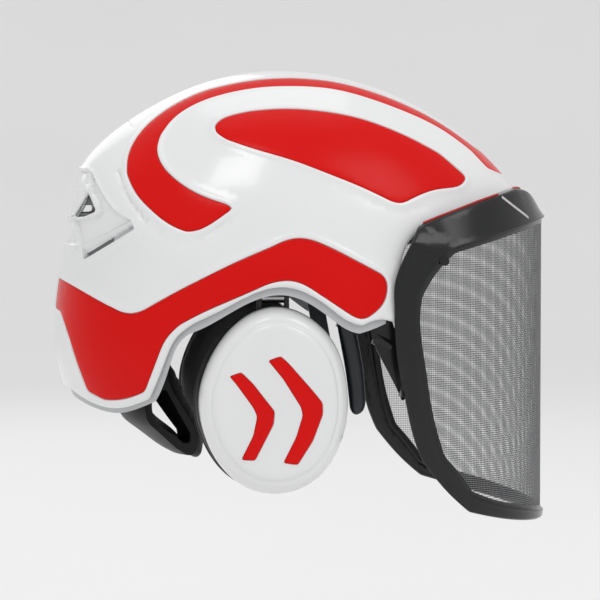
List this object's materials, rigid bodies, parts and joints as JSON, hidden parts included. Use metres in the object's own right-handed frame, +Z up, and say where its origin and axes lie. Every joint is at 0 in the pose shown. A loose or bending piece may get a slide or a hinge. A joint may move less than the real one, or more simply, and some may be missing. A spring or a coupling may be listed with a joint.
{
  "type": "forestry helmet",
  "caption": "Forestry helmet with a two-tone shell, inner harness, size knob, swinging ear cups and a mesh visor that lifts over the shell.",
  "frame": {"origin": "middle of the head cavity, on the mid plane, level with the tops of the ear cups' openings", "axes": "+X forward through the visor, +Y to the wearer's left, +Z up"},
  "size_m": [0.324, 0.2364, 0.294],
  "materials": {
    "cup_black": "satin",
    "cup_white": "gloss",
    "cushion_black": "soft satin",
    "foam_grey": "open foam",
    "frame_black": "semi-gloss",
    "grille_grey": "satin",
    "harness_black": "satin",
    "liner_grey": "satin",
    "mesh_dark": "woven wire",
    "pad_fabric": "knitted",
    "panel_red": "gloss",
    "seal_red": "satin",
    "shell_white": "gloss",
    "steel_pin": "brushed",
    "tab_blue_black": "gloss",
    "webbing": "woven"
  },
  "bodies": {
    "shell": {"outer_shell": "shell_white", "inner_shell": "liner_grey", "rear_grille": "grille_grey", "stripe_panel": "panel_red", "leaf_panel_right": "panel_red", "leaf_panel_left": "panel_red", "side_panel_right": "panel_red", "side_panel_left": "panel_red", "head_ring": "harness_black", "sweatband": "pad_fabric", "strap_long": "webbing", "strap_cross": "webbing", "crown_pad": "pad_fabric", "suspension_keys": "harness_black", "temple_tab_right": "tab_blue_black", "temple_tab_left": "tab_blue_black", "cup_bracket_right": "harness_black", "cup_bracket_left": "harness_black", "visor_bracket_right": "harness_black", "visor_bracket_left": "harness_black", "visor_pins": "steel_pin"},
    "nape": {"nape_band": "harness_black", "knob_housing": "harness_black", "nape_cradle": "harness_black", "nape_pad": "pad_fabric"},
    "knob": {"size_knob": "harness_black"},
    "visor_levers": {"visor_lever_right": "frame_black", "visor_lever_left": "frame_black"},
    "visor": {"visor_frame": "frame_black", "visor_mesh": "mesh_dark", "visor_seal": "seal_red", "visor_latches": "frame_black", "visor_arm_right": "frame_black", "visor_arm_left": "frame_black"},
    "cup_arm_right": {"cup_arm_right": "harness_black", "cup_arm_pins_right": "steel_pin"},
    "cup_hanger_right": {"cup_hanger_right": "harness_black"},
    "cup_right": {"cup_cap_right": "cup_white", "cup_chevrons_right": "panel_red", "cup_base_right": "cup_black", "cup_cushion_right": "cushion_black", "cup_foam_right": "foam_grey", "cup_tilt_pin_right": "steel_pin"},
    "cup_arm_left": {"cup_arm_left": "harness_black", "cup_arm_pins_left": "steel_pin"},
    "cup_hanger_left": {"cup_hanger_left": "harness_black"},
    "cup_left": {"cup_cap_left": "cup_white", "cup_chevrons_left": "panel_red", "cup_base_left": "cup_black", "cup_cushion_left": "cushion_black", "cup_foam_left": "foam_grey", "cup_tilt_pin_left": "steel_pin"}
  },
  "joints": [
    {"name": "nape_adjust", "type": "slide", "parent": "shell", "child": "nape", "axis": [0.9397, 0, 0.342], "range_m": [0, 0.018]},
    {"name": "knob_turn", "type": "hinge", "parent": "nape", "child": "knob", "pos_m": [-0.11746, 0, 0.00625], "axis": [0.9397, 0, 0.342], "range_deg": [0, 540]},
    {"name": "visor_lift", "type": "hinge", "parent": "shell", "child": "visor_levers", "pos_m": [0.036, 0, 0.021], "axis": [0, -1, 0], "range_deg": [0, 62]},
    {"name": "visor_reach", "type": "slide", "parent": "visor_levers", "child": "visor", "axis": [0.766, 0, 0.6428], "range_m": [0, 0.024]},
    {"name": "cup_swing_right", "type": "hinge", "parent": "shell", "child": "cup_arm_right", "pos_m": [-0.017, -0.0965, 0.047], "axis": [-1, 0, 0], "range_deg": [0, 22]},
    {"name": "cup_height_right", "type": "slide", "parent": "cup_arm_right", "child": "cup_hanger_right", "axis": [0, 0, -1], "range_m": [0, 0.014]},
    {"name": "cup_tilt_right", "type": "hinge", "parent": "cup_hanger_right", "child": "cup_right", "pos_m": [-0.017, -0.094, 0.029], "axis": [-1, 0, 0], "range_deg": [-6, 6]},
    {"name": "cup_swing_left", "type": "hinge", "parent": "shell", "child": "cup_arm_left", "pos_m": [-0.017, 0.0965, 0.047], "axis": [1, 0, 0], "range_deg": [0, 22]},
    {"name": "cup_height_left", "type": "slide", "parent": "cup_arm_left", "child": "cup_hanger_left", "axis": [0, 0, -1], "range_m": [0, 0.014]},
    {"name": "cup_tilt_left", "type": "hinge", "parent": "cup_hanger_left", "child": "cup_left", "pos_m": [-0.017, 0.094, 0.029], "axis": [1, 0, 0], "range_deg": [-6, 6]}
  ],
  "couplings": [
    {"joint": "knob_turn", "follows": "nape_adjust", "rad_per_m": 523.6},
    {"joint": "visor_reach", "follows": "visor_lift", "m_per_rad": 0.02217}
  ]
}
